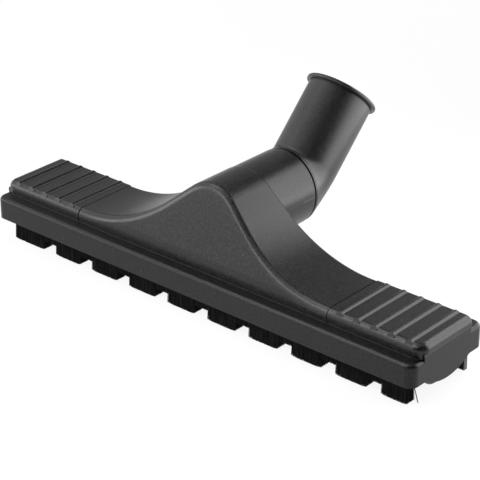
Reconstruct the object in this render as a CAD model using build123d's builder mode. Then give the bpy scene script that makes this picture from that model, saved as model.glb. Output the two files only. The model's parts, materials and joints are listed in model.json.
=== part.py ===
from build123d import *
import os
from math import cos, radians, sin, tan

# Hard-floor vacuum nozzle: a long brush head under a bell-shaped cover, with ribbed end pads,
# two bristle strips, two wheels and a swivel elbow.
# Millimetres. The origin is on the floor under the middle of the head, +X runs along the head,
# +Y to the rear, where the elbow is, and +Z up.

# Base frame
head_length = 300.0
head_depth = 62.0
floor_gap = 11.8            # lower edge of the frame above the floor
frame_height = 13.0
frame_wall = 2.4
frame_corner_radius = 5.4
frame_edge_radius = 2.2
plate_thickness = 2.4       # top plate, whose rim is the shelf round the cover
tongue_front = 20.9         # raised middle of each end wall, which the pad ends on
tongue_rear = 18.8
tongue_rise = 2.4
tongue_bevel = 0.4          # shows as a fine line under the pad
bulge_half_width = 18.6     # arc below each end wall, which shields the wheel
bulge_drop = 5.6
throat_length = 92.0        # opening in the top plate under the cover
throat_margin = 3.5         # plate left round the throat, inside the cover
rib_thickness = 1.6         # long ribs that hold the brush strips
rib_depth = 8.4

# Cover
cover_front = 23.2
cover_rear = 20.0
cover_half_length = 89.5
cover_wall = 2.3
cover_rise = 7.7            # flat ends of the cover above the shelf
bell_flank_angle = 39.8
bell_flare_radius = 92.0
crown_step = 0.25           # crown of the bell stands this proud of the neck
front_lean = 18.2           # front face leans back above the crease
crease_rise = 7.0
crease_radius = 14.0
ridge_radius = 4.5
rear_edge_radius = 2.0

# End pads
seam_gap = 0.5
pad_wall = 2.2
pad_corner_radius = 6.5
pad_edge_radius = 4.0
pad_rear_radius = 0.8
pad_rib_pitch = 10.9
pad_rib_inset = 9.4         # last rib to the end of the head
pad_rib_height = 1.0
pad_rib_crest_radius = 2.2  # ribs are round on top
pad_rib_front_slope = 1.3
pad_rib_rear_slope = 0.5

# Neck and swivel
neck_radius = 22.3
neck_axis_height = 48.2
neck_end = 51.2
neck_edge_radius = 0.6
swivel_bore_radius = 19.0
swivel_bore_length = 19.2
swivel_clearance = 0.1
swivel_gap = 1.0            # dark ring between neck and elbow
ring_width = 1.6
ring_depth = 1.0            # groove for the retaining ring
ring_clearance = 0.3
ring_split_angle = 24.0
neck_cavity_radius = 20.2
sleeve_tail = 2.0           # sleeve beyond the retaining ring

# Elbow
elbow_angle = 45.0
elbow_corner = 59.8         # where the neck axis meets the tube axis
elbow_reach = 58.6          # from that corner to the mouth
collar_radius = 22.1
tube_radius = 19.4
duct_radius = 16.8
bend_gap = 2.5              # inner corner of the bend stands this far from its pivot
bend_taper = 2.5            # above 1, the collar narrows early in the bend
bend_steps = 3
socket_radius = 17.5
socket_depth = 38.0
rim_radius = 21.5
rim_width = 2.4
rim_edge_radius = 1.0

# Brush strips
front_bristle_face = 27.2
front_bristle_thickness = 6.0
front_bristle_left_inset = 11.4     # from the ends of the head
front_bristle_right_inset = 5.2
notch_pitch = 29.25
notch_inset = 28.7          # first notch from the strip's left end
notch_width = 9.75
notch_height = 5.6
rear_bristle_face = 19.1
rear_bristle_thickness = 2.5
rear_bristle_inset = 2.7
channel_wall = 1.0
channel_depth = 8.0
strip_clearance = 0.2
wire_radius = 0.8
wire_depth = 1.6            # wire axis below the channel's floor

# Wheels
wheel_radius = 12.4
wheel_width = 8.0
wheel_inset = 6.8           # outboard face to the end of the head
wheel_edge_bevel = 0.5
wheel_web = 3.0
wheel_rim = 2.6
hub_radius = 3.8
hub_stand = 0.5             # hub stands proud of the wheel's faces
axle_radius = 1.5
axle_clearance = 0.05
wheel_clearance = 0.1
wheel_room = 1.2            # free space round the wheel in its slot
bracket_thickness = 2.4
bracket_gap = 1.0           # bracket to the wheel's hub
bracket_half_width = 6.0
axle_seat = 1.0             # depth of the axle's end in the end wall

# Screws
screw_head_radius = 3.0
screw_head_height = 2.2
screw_radius = 1.5
screw_length = 7.0
screw_hole_clearance = 0.3
screw_pilot_clearance = 0.05
boss_radius = 3.6
boss_hole_margin = 0.4
cover_screw_inset = 27.5    # from the ends of the cover
cover_screw_front = 13.0
cover_screw_rear = 12.0
pad_screw_inset = 22.0      # from the pad's seam with the cover

# Levels and places that follow from them
half_length = head_length / 2
shelf = floor_gap + frame_height
plate_under = shelf - plate_thickness
pad_top = shelf + cover_rise
pad_start = cover_half_length + seam_gap
pad_length = half_length - pad_start
pad_rib_count = 1 + int((pad_length - pad_rib_inset - 2 * pad_rib_crest_radius) / pad_rib_pitch)
pad_screw_x = pad_start + pad_screw_inset
cover_screw_x = cover_half_length - cover_screw_inset
crown_radius = neck_radius + crown_step
axle_height = wheel_radius
wheel_out = half_length - wheel_inset
wheel_in = wheel_out - wheel_width
bracket_out = wheel_in - hub_stand - bracket_gap
channel_top = plate_under - strip_clearance
channel_bottom = channel_top - channel_depth
front_channel = (-front_bristle_face - channel_wall,
                 -front_bristle_face + front_bristle_thickness + channel_wall)
front_bristle_left = front_bristle_left_inset - half_length
front_bristle_right = half_length - front_bristle_right_inset
rear_bristle_end = half_length - rear_bristle_inset
notch_first = front_bristle_left + notch_inset
notch_count = 1 + int((front_bristle_right - notch_first - notch_width) / notch_pitch)
rear_channel = (rear_bristle_face - channel_wall,
                rear_bristle_face + rear_bristle_thickness + channel_wall)
cover_screws_at = [(x, y) for x in (-cover_screw_x, cover_screw_x)
                   for y in (-cover_screw_front, cover_screw_rear)]
pad_screws_at = [(-pad_screw_x, 0), (pad_screw_x, 0)]

os.makedirs("parts", exist_ok=True)


def neck_plane(y):
    """A plane across the neck, facing the rear."""
    return Plane(origin=(0, y, neck_axis_height), x_dir=(1, 0, 0), z_dir=(0, 1, 0))


def axle_plane():
    """A lengthwise plane through the wheel axles."""
    return Plane(origin=(0, 0, axle_height), x_dir=(1, 0, 0), z_dir=(0, -1, 0))


def bell_outline(inset):
    """The cover's outline from the front, with its walls moved inwards."""
    angle = radians(bell_flank_angle)
    crown = crown_radius - inset
    flare = bell_flare_radius + inset
    flat = pad_top - inset
    end = cover_half_length - inset
    top = (0, neck_axis_height + crown)
    flank = (crown * sin(angle), neck_axis_height + crown * cos(angle))
    corner = flank[0] + (flank[1] - flat) / tan(angle)
    reach = flare * tan(angle / 2)
    flare_start = (corner - reach * cos(angle), flat + reach * sin(angle))
    flare_end = (corner + reach, flat)
    TangentArc(top, flank, tangent=(1, 0))
    Line(flank, flare_start)
    TangentArc(flare_start, flare_end, tangent=(cos(angle), -sin(angle)))
    Polyline(flare_end, (end, flat), (end, shelf - inset), (0, shelf - inset))
    mirror(about=Plane.YZ)


def bell_form(inset):
    """The cover as a full solid, with its walls moved inwards."""
    above = neck_axis_height + crown_radius + cover_wall
    crease = shelf + crease_rise
    foot = -cover_front + inset
    rear = cover_rear - inset
    brow = foot + (above - crease) * tan(radians(front_lean))
    with BuildPart() as form:
        with BuildSketch(Plane.YZ) as side:
            with BuildLine():
                Polyline((rear, shelf - inset), (foot, shelf - inset), (foot, crease),
                         (brow, above), (rear, above), close=True)
            make_face()
            fillet(side.vertices().sort_by_distance((foot, crease))[0], crease_radius)
        extrude(amount=cover_half_length - inset, both=True)
        with BuildSketch(Plane.XZ):
            with BuildLine():
                bell_outline(inset)
            make_face()
        extrude(amount=head_depth, both=True, mode=Mode.INTERSECT)
    return form.part


# Cover: bell-shaped hollow moulding with the neck, open below
with BuildPart() as cover_hollow:
    add(bell_form(cover_wall))
    with BuildSketch(Plane.XY.offset(shelf - cover_wall)):
        with Locations(*cover_screws_at):
            Circle(boss_radius)
    extrude(amount=neck_axis_height, mode=Mode.SUBTRACT)
    with BuildSketch(neck_plane(0)):
        Circle(neck_cavity_radius)
    extrude(amount=neck_end - swivel_bore_length)
    with BuildSketch(neck_plane(0)):
        Circle(swivel_bore_radius)
    extrude(amount=neck_end)

with BuildPart() as top_cover:
    add(bell_form(0))
    along_depth = top_cover.edges().filter_by(Axis.Y)
    front_ridge = [edge for edge in top_cover.edges()
                   if edge.center().Y < 0 and edge.center().Z > shelf + crease_rise
                   and edge.length < cover_half_length and edge not in along_depth]
    fillet(front_ridge, ridge_radius)
    rear_edges = top_cover.faces().sort_by(Axis.Y)[-1].edges()
    fillet([edge for edge in rear_edges if edge.center().Z > pad_top - rear_edge_radius],
           rear_edge_radius)
    with BuildSketch(neck_plane(0)):
        Circle(neck_radius)
    extrude(amount=neck_end)
    neck_rim = top_cover.edges().filter_by(GeomType.CIRCLE).sort_by(Axis.Y)[-1]
    fillet(neck_rim, neck_edge_radius)
    add(cover_hollow.part, mode=Mode.SUBTRACT)
    with BuildSketch(Plane.XY.offset(shelf)):
        with Locations(*cover_screws_at):
            Circle(screw_radius + screw_pilot_clearance)
    extrude(amount=screw_length - plate_thickness + boss_hole_margin, mode=Mode.SUBTRACT)
top_cover.part.label = "top_cover"
export_step(top_cover.part, "parts/top_cover.step")

# Base frame: tray open below, with the shelf, end tongues and bulged end walls
with BuildPart() as base_frame:
    with BuildSketch(Plane.XY.offset(floor_gap)):
        RectangleRounded(head_length, head_depth, frame_corner_radius)
    extrude(amount=frame_height)
    fillet(base_frame.faces().sort_by(Axis.Z)[-1].edges(), frame_edge_radius)
    with BuildSketch(Plane.XY.offset(floor_gap)):
        RectangleRounded(head_length - 2 * frame_wall, head_depth - 2 * frame_wall,
                         frame_corner_radius - frame_wall)
    extrude(amount=frame_height - plate_thickness, mode=Mode.SUBTRACT)
    # End walls: tongue above the shelf, bulge below, both as thick as the wall
    for side in (-1, 1):
        with BuildSketch(Plane.YZ.offset(side * half_length)):
            with BuildLine():
                Polyline((bulge_half_width, floor_gap), (tongue_rear, shelf),
                         (tongue_rear, shelf + tongue_rise), (-tongue_front, shelf + tongue_rise),
                         (-tongue_front, shelf), (-bulge_half_width, floor_gap))
                ThreePointArc((-bulge_half_width, floor_gap), (0, floor_gap - bulge_drop),
                              (bulge_half_width, floor_gap))
            make_face()
        extrude(amount=-side * frame_wall)
        tongue_edges = base_frame.edges().filter_by(Axis.Y).group_by(Axis.Z)[-1].sort_by(Axis.X)
        chamfer(tongue_edges[0 if side < 0 else -1], tongue_bevel)
    # Ribs that hold the two brush channels
    ribs = [front_channel[1] + strip_clearance + rib_thickness / 2,
            rear_channel[0] - strip_clearance - rib_thickness / 2,
            rear_channel[1] + strip_clearance + rib_thickness / 2]
    with BuildSketch(Plane.XY.offset(plate_under)):
        with Locations(*[(0, y) for y in ribs]):
            Rectangle(head_length - 2 * frame_wall, rib_thickness)
    extrude(amount=-rib_depth)
    # Wheel brackets and end bosses, with the axle holes, and a slot above each wheel
    for side in (-1, 1):
        with BuildSketch(Plane.YZ.offset(side * bracket_out)):
            with Locations((0, axle_height)):
                Circle(bracket_half_width)
            with Locations((0, (axle_height + plate_under) / 2)):
                Rectangle(2 * bracket_half_width, plate_under - axle_height)
        extrude(amount=-side * bracket_thickness)
        with BuildSketch(Plane.YZ.offset(side * (half_length - frame_wall))):
            with Locations((0, axle_height)):
                Circle(hub_radius)
        extrude(amount=-side * (wheel_inset - frame_wall - hub_stand - bracket_gap))
        with BuildSketch(Plane.YZ.offset(side * (half_length - frame_wall + axle_seat))):
            with Locations((0, axle_height)):
                Circle(axle_radius + axle_clearance)
        extrude(amount=-side * (half_length - bracket_out + bracket_thickness),
                mode=Mode.SUBTRACT)
        slot_start = bracket_out
        slot_end = half_length - frame_wall - bracket_gap
        with BuildSketch(Plane.XY.offset(plate_under)):
            with Locations((side * (slot_start + slot_end) / 2, 0)):
                Rectangle(slot_end - slot_start, 2 * (wheel_radius + wheel_room))
        extrude(amount=plate_thickness, mode=Mode.SUBTRACT)
    # Throat up into the cover, and the screw holes
    throat_front = cover_wall + throat_margin - cover_front
    throat_rear = cover_rear - cover_wall - throat_margin
    with BuildSketch(Plane.XY.offset(plate_under)):
        with Locations((0, (throat_front + throat_rear) / 2)):
            RectangleRounded(throat_length, throat_rear - throat_front, throat_margin)
        with Locations(*cover_screws_at, *pad_screws_at):
            Circle(screw_radius + screw_hole_clearance)
    extrude(amount=plate_thickness, mode=Mode.SUBTRACT)
base_frame.part.label = "base_frame"
export_step(base_frame.part, "parts/base_frame.step")

# One rib of the pads: a round bar whose front end slopes down over the pad's rounded edge
rib_top = pad_top + pad_rib_height
rib_foot = pad_top - pad_edge_radius / 2
rib_front = -cover_front + pad_edge_radius / 2
rib_rear = cover_rear - pad_rear_radius
with BuildPart() as pad_rib:
    with BuildSketch(Plane.YZ):
        Polygon((rib_front - pad_rib_front_slope, rib_foot), (rib_front, rib_top),
                (rib_rear - pad_rib_rear_slope, rib_top), (rib_rear, pad_top),
                (rib_rear, rib_foot), align=None)
    extrude(amount=pad_rib_crest_radius, both=True)
    with BuildSketch(Plane.XZ):
        with Locations((0, rib_top - pad_rib_crest_radius)):
            Circle(pad_rib_crest_radius)
    extrude(amount=head_depth, both=True, mode=Mode.INTERSECT)


def foot_pad(side):
    """A ribbed end pad: a hollow cap that sits on the shelf and on the end wall's tongue."""
    depth = cover_front + cover_rear
    middle = ((pad_start + half_length) / 2, (cover_rear - cover_front) / 2)
    ribs = [half_length - pad_rib_inset - i * pad_rib_pitch for i in range(pad_rib_count)]
    with BuildPart() as pad:
        with BuildSketch(Plane.XY.offset(shelf)):
            with Locations(middle):
                Rectangle(pad_length, depth)
        extrude(amount=cover_rise)
        fillet(pad.edges().filter_by(Axis.Z).group_by(Axis.X)[-1].sort_by(Axis.Y)[0],
               pad_corner_radius)
        top = pad.faces().sort_by(Axis.Z)[-1]
        inner = top.edges().sort_by(Axis.X)[0]
        rear = top.edges().sort_by(Axis.Y)[-1]
        fillet([edge for edge in top.edges() if edge not in (inner, rear)], pad_edge_radius)
        fillet(pad.faces().sort_by(Axis.Z)[-1].edges().sort_by(Axis.Y)[-1], pad_rear_radius)
        with Locations(*[(x, 0, 0) for x in ribs]):
            add(pad_rib.part)
        # Hollow below, screw boss and the notch over the tongue
        with BuildSketch(Plane.XY.offset(shelf)):
            with Locations(middle):
                Rectangle(pad_length - 2 * pad_wall, depth - 2 * pad_edge_radius)
            with Locations((pad_screw_x, 0)):
                Circle(boss_radius, mode=Mode.SUBTRACT)
        extrude(amount=cover_rise - pad_wall, mode=Mode.SUBTRACT)
        with BuildSketch(Plane.XY.offset(shelf)):
            with Locations((pad_screw_x, 0)):
                Circle(screw_radius + screw_pilot_clearance)
        extrude(amount=screw_length - plate_thickness + boss_hole_margin, mode=Mode.SUBTRACT)
        with BuildSketch(Plane.XY.offset(shelf)):
            with Locations((half_length, (tongue_rear - tongue_front) / 2)):
                Rectangle(2 * (frame_wall + strip_clearance), tongue_rear + tongue_front)
        extrude(amount=tongue_rise, mode=Mode.SUBTRACT)
        if side < 0:
            mirror(about=Plane.YZ, mode=Mode.REPLACE)
    return pad.part


for name, side in (("left_foot_pad", -1), ("right_foot_pad", 1)):
    piece = foot_pad(side)
    piece.label = name
    export_step(piece, f"parts/{name}.step")

# Swivel elbow: sleeve in the neck, collar, bend and beaded tube socket
sleeve_radius = swivel_bore_radius - swivel_clearance
shoulder = neck_end - swivel_bore_length
ring_start = shoulder - ring_clearance - ring_width
sleeve_start = ring_start - sleeve_tail
collar_start = neck_end + swivel_gap
turn = radians(elbow_angle)
tube_offset = bend_gap + tube_radius
bend_pivot = (elbow_corner + (bend_gap + collar_radius) / tan(turn) - tube_offset / sin(turn),
              neck_axis_height + bend_gap + collar_radius)


def bend_radius(share):
    """Outer radius of the bend, at a share of its turn from collar to tube."""
    return tube_radius + (collar_radius - tube_radius) * (1 - share) ** bend_taper


def bend_plane(share):
    """A plane across the bend, at a share of its turn from collar to tube."""
    angle = turn * share
    offset = bend_gap + bend_radius(share)
    centre = (0, bend_pivot[0] + offset * sin(angle), bend_pivot[1] - offset * cos(angle))
    return Plane(origin=centre, x_dir=(1, 0, 0), z_dir=(0, cos(angle), sin(angle)))


def tube_plane(reach):
    """A plane across the tube, at a distance from the elbow's corner."""
    centre = (0, elbow_corner + reach * cos(turn), neck_axis_height + reach * sin(turn))
    return Plane(origin=centre, x_dir=(1, 0, 0), z_dir=(0, cos(turn), sin(turn)))


bend_reach = (bend_pivot[0] + tube_offset * sin(turn) - elbow_corner) / cos(turn)
duct_bend_radius = (elbow_corner - collar_start) / tan(turn / 2)
duct_pivot = Axis((0, collar_start, neck_axis_height + duct_bend_radius), (1, 0, 0))

with BuildPart() as elbow_duct:
    with BuildSketch(neck_plane(sleeve_start)):
        Circle(duct_radius)
    extrude(amount=collar_start - sleeve_start)
    with BuildSketch(neck_plane(collar_start)):
        Circle(duct_radius)
    revolve(axis=duct_pivot, revolution_arc=elbow_angle)
    with BuildSketch(tube_plane(elbow_corner - collar_start)):
        Circle(duct_radius)
    extrude(amount=elbow_reach - elbow_corner + collar_start)
    with BuildSketch(tube_plane(elbow_reach)):
        Circle(socket_radius)
    extrude(amount=-socket_depth)

with BuildPart() as swivel_elbow:
    with BuildSketch(neck_plane(sleeve_start)):
        Circle(sleeve_radius)
    extrude(amount=bend_pivot[0] - sleeve_start)
    with BuildSketch(neck_plane(ring_start)):
        Circle(sleeve_radius)
        Circle(sleeve_radius - ring_depth, mode=Mode.SUBTRACT)
    extrude(amount=ring_width, mode=Mode.SUBTRACT)
    with BuildSketch(neck_plane(collar_start)):
        Circle(collar_radius)
    extrude(amount=bend_pivot[0] - collar_start)
    for step in range(bend_steps + 1):
        with BuildSketch(bend_plane(step / bend_steps)):
            Circle(bend_radius(step / bend_steps))
    loft()
    with BuildSketch(tube_plane(bend_reach)):
        Circle(tube_radius)
    extrude(amount=elbow_reach - bend_reach)
    with BuildSketch(tube_plane(elbow_reach)):
        Circle(rim_radius)
    extrude(amount=-rim_width)
    mouth_edges = swivel_elbow.edges().filter_by(GeomType.CIRCLE)
    fillet([edge for edge in mouth_edges if abs(edge.radius - rim_radius) < swivel_clearance],
           rim_edge_radius)
    add(elbow_duct.part, mode=Mode.SUBTRACT)
swivel_elbow.part.label = "swivel_elbow"
export_step(swivel_elbow.part, "parts/swivel_elbow.step")

# Split ring that keeps the elbow in the neck
with BuildPart() as retaining_ring:
    with BuildSketch(neck_plane(ring_start + axle_clearance)):
        Circle(neck_cavity_radius - ring_clearance)
        Circle(sleeve_radius - ring_depth + axle_clearance, mode=Mode.SUBTRACT)
        with Locations((0, neck_cavity_radius)):
            Rectangle(2 * neck_cavity_radius * sin(radians(ring_split_angle / 2)),
                      neck_cavity_radius, mode=Mode.SUBTRACT)
    extrude(amount=ring_width - 2 * axle_clearance)
retaining_ring.part.label = "retaining_ring"
export_step(retaining_ring.part, "parts/retaining_ring.step")


def brush_strip(name, channel, start, end, notches):
    """A channel, its core wire and the bristles folded over that wire, for one strip."""
    thickness = channel[1] - channel[0] - 2 * channel_wall
    middle = (channel[0] + channel[1]) / 2
    floor = channel_top - channel_wall
    wire_height = floor - wire_depth
    with BuildPart() as back:
        with BuildSketch(Plane.YZ.offset(start)):
            with Locations((middle, (channel_top + channel_bottom) / 2)):
                Rectangle(channel[1] - channel[0], channel_depth)
            with Locations((middle, (floor + channel_bottom) / 2)):
                Rectangle(thickness, floor - channel_bottom, mode=Mode.SUBTRACT)
        extrude(amount=end - start)
    with BuildPart() as bristles:
        with BuildSketch(Plane.YZ.offset(start)):
            with Locations((middle, floor / 2)):
                Rectangle(thickness, floor)
            with Locations((middle, wire_height)):
                Circle(wire_radius, mode=Mode.SUBTRACT)
        extrude(amount=end - start)
        if notches:
            with BuildSketch(Plane.XZ.offset(-middle)):
                with Locations(*[(x, notch_height / 2) for x in notches]):
                    Rectangle(notch_width, notch_height)
            extrude(amount=thickness, both=True, mode=Mode.SUBTRACT)
    with BuildPart() as wire:
        with BuildSketch(Plane.YZ.offset(start)):
            with Locations((middle, wire_height)):
                Circle(wire_radius)
        extrude(amount=end - start)
    for piece, kind in ((back, "brush_back"), (bristles, "bristles"), (wire, "brush_wire")):
        piece.part.label = f"{name}_{kind}"
        export_step(piece.part, f"parts/{name}_{kind}.step")


brush_strip("front", front_channel, front_bristle_left, front_bristle_right,
            [notch_first + i * notch_pitch for i in range(notch_count)])
brush_strip("rear", rear_channel, -rear_bristle_end, rear_bristle_end, [])


def wheel_and_axle(name, side):
    """A moulded wheel with a hub and a thin web, and the steel pin that it turns on."""
    middle = (wheel_in + wheel_out) / 2
    bore = axle_radius + wheel_clearance
    inner_rim = wheel_radius - wheel_rim
    with BuildPart() as wheel:
        with BuildSketch(axle_plane()) as section:
            with Locations((side * middle, (bore + hub_radius) / 2)):
                Rectangle(wheel_width + 2 * hub_stand, hub_radius - bore)
            with Locations((side * middle, (bore + inner_rim) / 2)):
                Rectangle(wheel_web, inner_rim - bore)
            with Locations((side * middle, wheel_radius - wheel_rim / 2)):
                Rectangle(wheel_width, wheel_rim)
            chamfer(section.vertices().group_by(Axis.Y)[-1], wheel_edge_bevel)
        revolve(axis=Axis((0, 0, axle_height), (1, 0, 0)))
    with BuildPart() as axle:
        with BuildSketch(Plane.YZ.offset(side * (bracket_out - bracket_thickness))):
            with Locations((0, axle_height)):
                Circle(axle_radius)
        extrude(amount=side * (half_length - frame_wall + axle_seat - axle_clearance
                               - bracket_out + bracket_thickness))
    for piece, label in ((wheel, f"{name}_wheel"), (axle, f"{name}_wheel_axle")):
        piece.part.label = label
        export_step(piece.part, f"parts/{label}.step")


wheel_and_axle("left", -1)
wheel_and_axle("right", 1)

# Screws from below, through the top plate into the bosses
with BuildPart() as cover_screws:
    with BuildSketch(Plane.XY.offset(plate_under)):
        with Locations(*cover_screws_at, *pad_screws_at):
            Circle(screw_head_radius)
    extrude(amount=-screw_head_height)
    with BuildSketch(Plane.XY.offset(plate_under)):
        with Locations(*cover_screws_at, *pad_screws_at):
            Circle(screw_radius)
    extrude(amount=screw_length)
cover_screws.part.label = "cover_screws"
export_step(cover_screws.part, "parts/cover_screws.step")
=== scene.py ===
# %% [markdown]
# # A hard-floor vacuum nozzle
# The nozzle is a long brush head under a bell-shaped cover, with a swivel elbow behind it.
# Its rigid mouldings arrive finished from the CAD frame, at their real size and in metres.
# What is left for Blender is what CAD can't hold: the grain of the plastic, the thousands of
# bristles, the light and the camera. Each step below explains one of them.

# %% Load the frame
import json
import math

import bpy
import numpy as np
from mathutils import Matrix, Vector


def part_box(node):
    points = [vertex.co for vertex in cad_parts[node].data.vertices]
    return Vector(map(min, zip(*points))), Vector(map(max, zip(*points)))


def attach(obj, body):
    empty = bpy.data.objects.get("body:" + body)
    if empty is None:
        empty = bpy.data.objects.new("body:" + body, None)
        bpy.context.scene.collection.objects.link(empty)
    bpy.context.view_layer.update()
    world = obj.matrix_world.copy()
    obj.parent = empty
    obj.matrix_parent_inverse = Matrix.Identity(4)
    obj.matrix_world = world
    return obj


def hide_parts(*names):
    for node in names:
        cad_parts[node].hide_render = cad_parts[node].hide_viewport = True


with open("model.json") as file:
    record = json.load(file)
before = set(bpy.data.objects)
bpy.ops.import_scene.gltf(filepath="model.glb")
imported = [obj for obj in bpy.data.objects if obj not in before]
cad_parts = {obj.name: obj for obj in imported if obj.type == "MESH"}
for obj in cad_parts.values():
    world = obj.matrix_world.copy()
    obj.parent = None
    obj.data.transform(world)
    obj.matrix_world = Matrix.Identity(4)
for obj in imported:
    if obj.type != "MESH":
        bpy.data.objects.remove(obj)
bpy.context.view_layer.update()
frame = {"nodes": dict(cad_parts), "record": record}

nodes = frame["nodes"]
MM = 0.001

# %% [markdown]
# ## Writing shader maths as Python
# A material is a graph of nodes, and long graphs are hard to read as link calls. One small class
# wraps a socket, so that `1 - mask` or `grain * 0.3 + 0.4` adds the Math nodes by itself. Every
# other node comes from its one method `node`, which takes the type, the settings and the inputs.


# %% A socket with operators
class Wire:
    """An output socket of a node tree. Operators on it add Math nodes."""

    def __init__(self, tree, socket=None):
        self.tree = tree
        self.socket = socket

    def node(self, kind, settings=None, inputs=None, output=0):
        """Adds one node: its settings first, then the values or links of its sockets."""
        made = self.tree.nodes.new("ShaderNode" + kind)
        for name, value in (settings or {}).items():
            setattr(made, name, value)
        for name, value in (inputs or {}).items():
            if isinstance(value, Wire):
                self.tree.links.new(value.socket, made.inputs[name])
            else:
                made.inputs[name].default_value = value
        return Wire(self.tree, made.outputs[output] if made.outputs else None)

    def maths(self, operation, first, second):
        return self.node("Math", {"operation": operation}, {0: first, 1: second})

    def __add__(self, other):
        return self.maths("ADD", self, other)

    def __radd__(self, other):
        return self.maths("ADD", other, self)

    def __sub__(self, other):
        return self.maths("SUBTRACT", self, other)

    def __rsub__(self, other):
        return self.maths("SUBTRACT", other, self)

    def __mul__(self, other):
        return self.maths("MULTIPLY", self, other)

    def __rmul__(self, other):
        return self.maths("MULTIPLY", other, self)

    def __truediv__(self, other):
        return self.maths("DIVIDE", self, other)

    def __rtruediv__(self, other):
        return self.maths("DIVIDE", other, self)


# %% Start and end of a material
def new_material(name):
    """A material with an empty node tree, and the wire that its nodes are added through."""
    material = bpy.data.materials.new(name)
    material.use_nodes = True
    material.node_tree.nodes.clear()
    return material, Wire(material.node_tree)


def finish_material(start, constants, varying):
    """Ends a node tree in a Principled shader: constants are set on it, the rest is linked."""
    shader = start.node("BsdfPrincipled", None, {**constants, **varying})
    start.node("OutputMaterial", None, {"Surface": shader})


# %% What every finish is made of
def object_point(start):
    """The place on the surface in the object's own frame, which no pose or camera changes."""
    return start.node("TexCoord", output=3)


def along(start, point, axis):
    """One coordinate of a point in millimetres: axis 0 is X, 1 is Y and 2 is Z."""
    return start.node("SeparateXYZ", None, {"Vector": point}, output=axis) / MM


def noise(start, point, scale, detail):
    """Noise between 0 and 1 with about `scale` lumps in each metre."""
    inputs = {"Vector": point, "Scale": scale, "Detail": detail}
    return start.node("TexNoise", {"noise_dimensions": "3D"}, inputs)


def grey_between(start, share, dark, light):
    """A colour from one grey or wired colour to another, as share goes from 0 to 1."""
    ends = [end if isinstance(end, Wire) else (end, end, end, 1) for end in (dark, light)]
    return start.node("Mix", {"data_type": "RGBA"}, {0: share, 6: ends[0], 7: ends[1]}, output=2)


# %% [markdown]
# ## Marks on the plastic
# Where the two halves of the mould meet on the neck, they leave a fine raised line near its end,
# rubbed a little paler than the rest. The foot of the cover and pads gets a thin painted highlight
# where its small edge would catch the light, which draws a light line along the frame. A few specks
# of dust lie on the plastic. All three are finer than a millimetre, so they are masks in the
# material. The boxes of the CAD nodes say where the line and the painted highlight run.

# %% The parting line on the neck, sizes in mm
LINE_HEIGHT = 0.05
LINE_WIDTH = 0.4
LINE_LENGTH = 11.0
LINE_TONE = 0.06
ring_low, ring_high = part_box("retaining_ring")
neck_level = (ring_low.z + ring_high.z) / 2 / MM
neck_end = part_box("top_cover")[1].y / MM
print("parting line at", round(neck_level, 2), "mm, up to the neck's end at", round(neck_end, 2), "mm")


def parting_line(start, point):
    """1 along the crest of the fine line on both sides of the neck, falling to 0 beside it."""
    distance = start.node("Math", {"operation": "ABSOLUTE"}, {0: along(start, point, 2) - neck_level})
    at_end = start.maths("GREATER_THAN", along(start, point, 1), neck_end - LINE_LENGTH)
    return start.maths("MAXIMUM", 1 - distance / (LINE_WIDTH / 2), 0.0) * at_end


# %% The painted highlight on the foot of the cover and pads, sizes in mm
FOOT_HIGHLIGHT_HEIGHT = 0.4
FOOT_HIGHLIGHT_TONE = 0.05
foot_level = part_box("left_foot_pad")[0].z / MM


def foot_highlight_mask(start, point):
    """1 on the lowest edge of the cover and pads, where the highlight is painted, else 0."""
    return start.maths("LESS_THAN", along(start, point, 2), foot_level + FOOT_HIGHLIGHT_HEIGHT)


# %% Specks of dust, sizes in mm
SPECK_SPACING = 6.0
SPECK_RADIUS = 0.25
SPECK_TONE = 0.11
print("specks up to", 2 * SPECK_RADIUS, "mm wide, about", SPECK_SPACING, "mm or more apart")


def specks(start, point):
    """1 inside a speck, else 0. A cell's centre makes a speck where it lies close to the surface."""
    inputs = {"Vector": point, "Scale": 1 / (SPECK_SPACING * MM)}
    return start.maths("LESS_THAN", start.node("TexVoronoi", None, inputs), SPECK_RADIUS / SPECK_SPACING)


# %% [markdown]
# ## Black moulded plastic
# The cover, frame, pads and elbow are injection mouldings in one satin black plastic. The mould is
# spark-eroded, which leaves a grain of just under a millimetre. A bump node carries that grain,
# because it is far too fine to model. Rubbed peaks of the grain look paler than its pits, so a
# second noise mottles the tone, and a wide one varies tone and gloss as they vary where the plastic
# flowed. The elbow and the wheels come from smoother moulds, and so get a shallower grain.

# %% The plastic's grain, sizes in mm
GRAIN_SIZE = 0.9
GRAIN_DEPTH = 0.03
MOTTLE_SIZE = 1.2
MOTTLE_CONTRAST = 5.0
MOTTLE_GLOSS = 0.02          # how far roughness follows the mottle, at a contrast of 1
FLOW_LUMPS = 26.0            # in a metre
FLOW_GLOSS = 0.08            # how far roughness follows the flow


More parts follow.
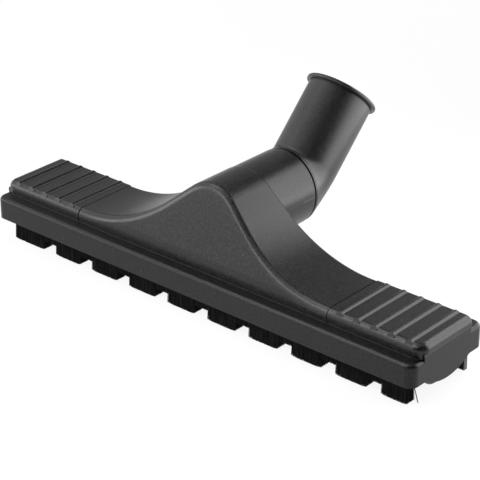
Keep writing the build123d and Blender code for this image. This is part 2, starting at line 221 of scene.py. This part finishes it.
def moulded_plastic(name, tone, roughness, specular=0.5, grain_depth=GRAIN_DEPTH,
                    contrast=MOTTLE_CONTRAST, lined=False, foot_highlight=False):
    """Satin plastic with a spark-eroded grain, and with the parting line or the painted highlight on the
    foot if asked.
    """
    material, start = new_material(name)
    point = object_point(start)
    flow = noise(start, point, FLOW_LUMPS, 3.0)
    mottle = noise(start, point, 1 / (MOTTLE_SIZE * MM), 2.0)
    grain = noise(start, point, 1 / (GRAIN_SIZE * MM), 3.0)
    colour = grey_between(start, flow + (mottle - 0.5) * contrast, 0.0, tone * 2)
    colour = grey_between(start, specks(start, point), colour, SPECK_TONE)
    rough = (flow - 0.5) * FLOW_GLOSS + (mottle - 0.5) * (MOTTLE_GLOSS * contrast) + roughness
    height = grain * grain_depth
    # Painted highlight: the lowest edge of the foot is drawn light, as if its small edge caught the
    # light.
    if foot_highlight:
        colour = grey_between(start, foot_highlight_mask(start, point), colour, FOOT_HIGHLIGHT_TONE)
    if lined:
        line = parting_line(start, point)
        height = height + line * LINE_HEIGHT
        colour = grey_between(start, line, colour, LINE_TONE)
    bump = start.node("Bump", None, {"Strength": 1.0, "Distance": MM, "Height": height})
    finish_material(start, {"Specular IOR Level": specular},
                    {"Base Color": colour, "Roughness": rough, "Normal": bump})
    print("plastic", name, "tone", tone, "roughness", roughness)
    return material


# %% The plastics of this nozzle
PLASTICS = {
    # The cover and pads get the painted highlight along their foot.
    "cover_plastic": dict(tone=0.0055, roughness=0.33, specular=0.45, lined=True, foot_highlight=True),
    "frame_plastic": dict(tone=0.0035, roughness=0.36, specular=0.32),
    "pad_plastic": dict(tone=0.0055, roughness=0.33, specular=0.47, foot_highlight=True),
    "elbow_plastic": dict(tone=0.0055, roughness=0.36, grain_depth=0.002, contrast=3.0),
    "ring_plastic": dict(tone=0.012, roughness=0.5),
    "channel_plastic": dict(tone=0.006, roughness=0.5),
    "wheel_plastic": dict(tone=0.008, roughness=0.34, grain_depth=0.006),
}
finishes = {name: moulded_plastic(name, **look) for name, look in PLASTICS.items()}

# %% [markdown]
# ## Steel pins
# The axles, the core wires and the screws are plain drawn steel. Drawing leaves fine lines along
# the wire, so the noise is stretched along X before it reaches roughness and bump. A wider noise
# stains the tone a little.

# %% The steel's finish
DRAWN_LINES = 2600.0         # in a metre, across the wire
DRAWN_STRETCH = 0.04         # share of them along the wire
DRAWN_DEPTH = 0.02 * MM
DRAWN_STRENGTH = 0.25
STAIN_LUMPS = 180.0          # in a metre
STEEL_TONES = (0.42, 0.60)
STEEL_ROUGHNESS = (0.22, 0.18)   # the least, and how far the lines raise it


def drawn_steel(name):
    """Bright steel with fine lines along X."""
    material, start = new_material(name)
    point = object_point(start)
    stretch = start.node("Mapping", None, {"Vector": point, "Scale": (DRAWN_STRETCH, 1.0, 1.0)})
    lines = noise(start, stretch, DRAWN_LINES, 2.0)
    colour = grey_between(start, noise(start, point, STAIN_LUMPS, 3.0), *STEEL_TONES)
    least, raised = STEEL_ROUGHNESS
    grooves = {"Strength": DRAWN_STRENGTH, "Distance": DRAWN_DEPTH, "Height": lines}
    bump = start.node("Bump", None, grooves)
    finish_material(start, {"Metallic": 1.0},
                    {"Base Color": colour, "Roughness": lines * raised + least, "Normal": bump})
    print("steel", name, "tones", STEEL_TONES)
    return material


finishes["steel"] = drawn_steel("steel")

# %% [markdown]
# ## Nylon bristles
# Black nylon filament is a little glossy; its sheen is painted into the colour as upright streaks,
# bundles that catch the light beside bundles that don't. The noise is squeezed along Z, so its lumps
# become streaks. The ends of the rear strip get a painted light grey highlight, for the lit end faces.

# %% The bristles' finish
# Painted sheen: the streaks are bundles drawn lighter, as if they caught the light.
SHEEN_STREAK_LUMPS = 700.0         # in a metre, across the bristles
FIBRE_LUMPS = 2400.0
SHEEN_STREAK_SQUEEZE = 0.05        # share of them along the bristles
SHEEN_STREAK_CONTRAST = 5.0
SHEEN_STREAK_SHARE = 0.3           # how far a middling streak goes from black to the bristle's tone
BRISTLE_SHEEN_TONE = 0.014
BRISTLE_SPECULAR = 0.08
BRISTLE_ROUGHNESS = (0.42, 0.2)  # the least, and how far the fibre raises it
# Painted highlight: the last half millimetre at the ends is drawn light grey, where light falls on the
# end faces.
END_HIGHLIGHT_LENGTH = 0.5            # in mm
END_HIGHLIGHT_TONE = 0.22
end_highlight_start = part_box("rear_bristles")[1].x / MM - END_HIGHLIGHT_LENGTH


def nylon_bristle(name):
    """Black nylon with painted streaks of sheen, and a painted light grey highlight at the ends."""
    material, start = new_material(name)
    point = object_point(start)
    squeeze = start.node("Mapping", None, {"Vector": point, "Scale": (1.0, 1.0, SHEEN_STREAK_SQUEEZE)})
    sheen_streak = noise(start, squeeze, SHEEN_STREAK_LUMPS, 2.0)
    fibre = noise(start, squeeze, FIBRE_LUMPS, 1.0)
    # Painted sheen: lighter streaks where bundles would catch the light.
    share = ((sheen_streak + fibre) * 0.5 - 0.5) * SHEEN_STREAK_CONTRAST + SHEEN_STREAK_SHARE
    black = grey_between(start, share, 0.0, BRISTLE_SHEEN_TONE)
    # Painted highlight on the outermost filaments at the ends.
    outwards = start.node("Math", {"operation": "ABSOLUTE"}, {0: along(start, point, 0)})
    end_highlight = start.maths("GREATER_THAN", outwards, end_highlight_start)
    colour = grey_between(start, end_highlight, black, END_HIGHLIGHT_TONE)
    least, raised = BRISTLE_ROUGHNESS
    finish_material(start, {"Specular IOR Level": BRISTLE_SPECULAR},
                    {"Base Color": colour, "Roughness": fibre * raised + least})
    print("nylon", name, "sealed beyond", round(end_highlight_start, 1), "mm")
    return material


finishes["bristle"] = nylon_bristle("bristle")

# %% [markdown]
# ## Dressing the CAD nodes
# Each node's record names its material slot, so one loop gives every node its finish.

# %% Give every node its finish
for row in frame["record"]["subparts"]:
    part = nodes[row["node"]]
    part.data.materials.clear()
    part.data.materials.append(finishes[row["material_slot"]])

# %% [markdown]
# ## Bristles as filaments
# In CAD each strip is one solid, which would look like a rubber block. Here every filament is a thin
# three-sided needle. Filaments grow in bundles that lean together, and those at the end of a tuft
# fan out because nothing stands beside them. A dark core inside each tuft stops light from passing
# between the needles. The tufts' places are read from the CAD solid: its lowest vertices are the
# ends of the tufts.

# %% Where the tufts stand
TINY = 0.1 * MM


def tuft_spans(node):
    """Start, end and lowest height of each tuft and each trimmed stretch of a CAD strip."""
    corners = [vertex.co for vertex in nodes[node].data.vertices]
    tips = min(corner.z for corner in corners)
    ends = sorted({round(corner.x, 5) for corner in corners if corner.z < tips + TINY})
    trimmed = {round(corner.z, 5) for corner in corners if corner.z > tips + TINY}
    spans = [(a, b, tips) for a, b in zip(ends[0::2], ends[1::2])]
    spans += [(a, b, min(trimmed)) for a, b in zip(ends[1::2], ends[2::2])]
    return spans


for strip in ("front_bristles", "rear_bristles"):
    print(strip, len(tuft_spans(strip)), "spans")


# %% One needle and one core, as vertices and faces
FILAMENT_RADIUS = 0.17 * MM
KNEE = 0.55                  # share of the length where a filament starts to bend
RING = [Matrix.Rotation(math.tau * i / 3, 3, "Z") @ Vector((FILAMENT_RADIUS, 0, 0)) for i in range(3)]


def needle(root, lean, end):
    """A closed three-sided needle that starts upright and bends by `lean` towards its end."""
    tip = Vector((root.x, root.y, end)) + lean
    knee = root.lerp(tip, KNEE) - lean * KNEE * (1 - KNEE)
    points = [place + corner for place in (root, knee, tip) for corner in RING]
    sides = [(row + i, row + 3 + i, row + 3 + (i + 1) % 3, row + (i + 1) % 3)
             for row in (0, 3) for i in range(3)]
    return points, [(0, 1, 2), *sides, (8, 7, 6)]


def block(low, high):
    """A plain box between two corners."""
    points = [Vector((x, y, z)) for x in (low.x, high.x)
              for y in (low.y, high.y) for z in (low.z, high.z)]
    return points, [(0, 1, 3, 2), (4, 6, 7, 5), (0, 4, 5, 1), (2, 3, 7, 6), (0, 2, 6, 4), (1, 5, 7, 3)]


# %% [markdown]
# A tuft is filled row by row. Each filament takes the lean of its bundle, a share of the fan at the
# tuft's ends and a little of its own. All leans are how far the end of a filament moves sideways.

# %% The needles of one tuft
FILAMENT_SPACING = 0.36 * MM
ROOT_LEVEL = 16.0 * MM       # hidden by the frame
BUNDLE_WIDTH = 1.5 * MM
BUNDLE_LEAN = 0.05 * MM
LOOSE = 0.03 * MM            # how far single filaments stray from their bundle
TUFT_FAN_REACH = 3.0 * MM    # from the end of a front tuft to where its filaments stand straight
FACE_FAN = 0.3 * MM          # lean of the outermost rows, to the front and to the back
TRIM_JITTER = 0.04 * MM
END_TRIM = 0.6 * MM          # the last filaments of a front tuft end this much higher


def tuft_needles(random, span, low, high, rows, fan_out):
    """All needles of one span, of which the last lean outwards by `fan_out`."""
    start, end, tips = span
    bundles = random.normal(0, BUNDLE_LEAN, (int((end - start) / BUNDLE_WIDTH) + 2, 2))
    needles = []
    for x in np.arange(start + FILAMENT_RADIUS, end, FILAMENT_SPACING):
        bundle = bundles[int((x - start) / BUNDLE_WIDTH)]
        near_end = max(0.0, 1 - min(x - start, end - x) / TUFT_FAN_REACH) ** 2
        outwards = -1 if x - start < end - x else 1
        if tips > low.z or not fan_out:
            near_end = 0.0
        for row in range(rows):
            share = (row + 0.5) / rows
            loose = random.normal(0, LOOSE, 4)
            root = Vector((x + loose[0], low.y + share * (high.y - low.y) + loose[1], ROOT_LEVEL))
            lean = Vector((bundle[0] + outwards * fan_out * near_end + loose[2],
                           bundle[1] + (2 * share - 1) * FACE_FAN + loose[3], 0))
            trim = abs(random.normal(0, TRIM_JITTER)) + near_end * END_TRIM
            needles.append(needle(root, lean, tips + trim))
    return needles


# %% [markdown]
# A strip is all its tufts and their cores in one mesh, which replaces the CAD solid. A few stray
# filaments stand off at the right end of the front strip.

# %% The pieces of one strip
ROW_SPACING = 0.5 * MM
CORE_INSET = 0.3 * MM
CORE_LIFT = 0.7 * MM         # from the tips of the filaments to the core


def strip_pieces(node, seed, fan_out, stray_leans):
    """Cores and needles of a strip, each as its vertices and faces."""
    random = np.random.default_rng(seed)
    low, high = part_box(node)
    rows = round((high.y - low.y) / ROW_SPACING)
    inset = Vector((CORE_INSET, CORE_INSET, 0))
    pieces = []
    for start, end, tips in tuft_spans(node):
        core_low = Vector((start, low.y, tips + CORE_LIFT)) + inset
        core_high = Vector((end, high.y, ROOT_LEVEL)) - inset
        pieces.append(block(core_low, core_high))
        pieces += tuft_needles(random, (start, end, tips), low, high, rows, fan_out)
    for lean in stray_leans:
        root = Vector((high.x - FILAMENT_SPACING, high.y - ROW_SPACING, ROOT_LEVEL))
        pieces.append(needle(root, Vector((lean, 0, 0)), low.z + TINY))
    return pieces


# %% The two strips
TUFT_FAN = 0.4 * MM          # how far the last filaments of a front tuft lean outwards
STRAY_LEANS = (3.0 * MM, 3.5 * MM)


def bristle_strip(name, node, seed, fan_out=0.0, stray_leans=()):
    """One mesh of filaments that stands for a CAD strip."""
    points, faces = [], []
    for corners, sides in strip_pieces(node, seed, fan_out, stray_leans):
        faces += [tuple(len(points) + i for i in side) for side in sides]
        points += corners
    mesh = bpy.data.meshes.new(name)
    mesh.from_pydata([tuple(point) for point in points], [], faces)
    mesh.materials.append(finishes["bristle"])
    piece = bpy.data.objects.new(name, mesh)
    bpy.context.scene.collection.objects.link(piece)
    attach(piece, "head")
    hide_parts(node)
    mesh.calc_loop_triangles()
    print(name, len(mesh.loop_triangles), "triangles")


bristle_strip("front_filaments", "front_bristles", seed=3, fan_out=TUFT_FAN, stray_leans=STRAY_LEANS)
bristle_strip("rear_filaments", "rear_bristles", seed=5)

# %% [markdown]
# ## Floor
# The floor is white paper that glows. Its own light keeps shadows off it and lights the front of the
# nozzle from below. It returns little of the lamps' light, so the lamps leave hardly a trace on it.

# %% White paper
FLOOR_REACH = 6.0            # in metres
PAPER_GLOW = 0.9
PAPER_TONES = (0.07, 0.09)
PAPER_ROUGHNESS = 0.8
CLOUD_LUMPS = 8.0            # in a metre
floor_mesh = bpy.data.meshes.new("floor")
corners = [(x * FLOOR_REACH, y * FLOOR_REACH, 0) for x, y in ((-1, -1), (1, -1), (1, 1), (-1, 1))]
floor_mesh.from_pydata(corners, [], [(0, 1, 2, 3)])
floor = bpy.data.objects.new("floor", floor_mesh)
bpy.context.scene.collection.objects.link(floor)
paper, start = new_material("paper")
cloud = noise(start, object_point(start), CLOUD_LUMPS, 2.0)
glow = {"Emission Color": (1, 1, 1, 1), "Emission Strength": PAPER_GLOW}
finish_material(start, {"Roughness": PAPER_ROUGHNESS, **glow},
                {"Base Color": grey_between(start, cloud, *PAPER_TONES)})
floor_mesh.materials.append(paper)
print("floor", 2 * FLOOR_REACH, "m wide")

# %% [markdown]
# ## Lights
# Black plastic shows little but reflections, so a picture of it is made by what stands around it.
# Every light is a soft rectangle, given by its radiance, where 1 is white paper. The power follows:
# an area light of radiance L and area A takes pi * L * A watts. Two lights are near. A softbox stands
# on the floor behind the right end, and draws a long highlight down the tube and the bell. A narrow
# strip hangs above the front, and draws the light line along the ridge of the bell. Because it is so
# near, the tube sees it from another direction and hardly shows it.


# %% A rectangle of light
def area_light(name, place, facing, width, height, radiance):
    """A soft rectangle of light at a place, facing one way."""
    light = bpy.data.lights.new(name, "AREA")
    light.shape = "RECTANGLE"
    light.size = width
    light.size_y = height
    light.energy = math.pi * radiance * width * height
    lamp = bpy.data.objects.new(name, light)
    lamp.location = place
    lamp.rotation_euler = facing.to_track_quat("-Z", "Y").to_euler()
    bpy.context.scene.collection.objects.link(lamp)
    print("light", name, round(light.energy, 2), "W")


# %% The two near lights, in metres
SOFTBOX_PLACE = Vector((0.228, 0.194, 0.17))
SOFTBOX_FACING = Vector((-0.395, -0.918, 0))
STRIP_PLACE = Vector((0.037, -0.142, 0.184))
STRIP_FACING = Vector((0.01, 0.13, -0.149))
area_light("right_softbox", SOFTBOX_PLACE, SOFTBOX_FACING, width=0.374, height=0.34, radiance=3.8)
area_light("front_strip", STRIP_PLACE, STRIP_FACING, width=0.26, height=0.04, radiance=6.5)

# %% [markdown]
# The other lights are panels farther off. Each is given by the direction it is seen in from the
# nozzle and by how wide and high it looks from there, all in degrees. That suits reflections: a
# surface that faces halfway between camera and panel shows the panel.

# %% The far panels
PANEL_DISTANCE = 1.6         # in metres


def panel(name, azimuth, elevation, spread, rise, radiance):
    """A panel placed by direction and angular size in degrees, azimuth from +X to +Y."""
    level, turn = math.radians(elevation), math.radians(azimuth)
    away = Vector((math.cos(level) * math.cos(turn), math.cos(level) * math.sin(turn), math.sin(level)))
    width = 2 * PANEL_DISTANCE * math.tan(math.radians(spread / 2))
    height = 2 * PANEL_DISTANCE * math.tan(math.radians(rise / 2))
    area_light(name, away * PANEL_DISTANCE, -away, width, height, radiance)


panel("left_panel", azimuth=190, elevation=27, spread=60, rise=48, radiance=1.1)
panel("front_left_panel", azimuth=-125, elevation=24, spread=46, rise=42, radiance=1.7)
panel("low_left_panel", azimuth=-152, elevation=14, spread=28, rise=16, radiance=4.4)
panel("top_panel", azimuth=-150, elevation=80, spread=56, rise=50, radiance=1.0)
panel("ridge_panel", azimuth=-172, elevation=62, spread=24, rise=24, radiance=2.8)
panel("back_left_panel", azimuth=122, elevation=26, spread=52, rise=48, radiance=0.4)

# %% The room around
ROOM_GLOW = 0.08
world = bpy.data.worlds.new("studio")
world.use_nodes = True
room = world.node_tree.nodes["Background"]
room.inputs["Color"].default_value = (1, 1, 1, 1)
room.inputs["Strength"].default_value = ROOM_GLOW
bpy.context.scene.world = world
bpy.context.scene.view_settings.view_transform = "Standard"
print("room glows at", ROOM_GLOW)

# %% [markdown]
# ## Camera
# The camera looks down from the front on the right, from about a metre off. Its place and its long
# lens follow from the straight edges of the nozzle's frame, which run together only slightly.

# %% The camera
CAMERA_PLACE = Vector((603.41, -680.65, 490.54)) * MM
CAMERA_AZIMUTH = 41.02
CAMERA_ELEVATION = 26.66
CAMERA_LENS = 140.2
SENSOR_WIDTH = 36.0
lens = bpy.data.cameras.new("camera")
lens.lens = CAMERA_LENS
lens.sensor_width = SENSOR_WIDTH
camera = bpy.data.objects.new("camera", lens)
camera.location = CAMERA_PLACE
camera.rotation_euler = (math.radians(90 - CAMERA_ELEVATION), 0, math.radians(CAMERA_AZIMUTH))
bpy.context.scene.collection.objects.link(camera)
bpy.context.scene.camera = camera
print("camera", round(CAMERA_PLACE.length, 2), "m off")
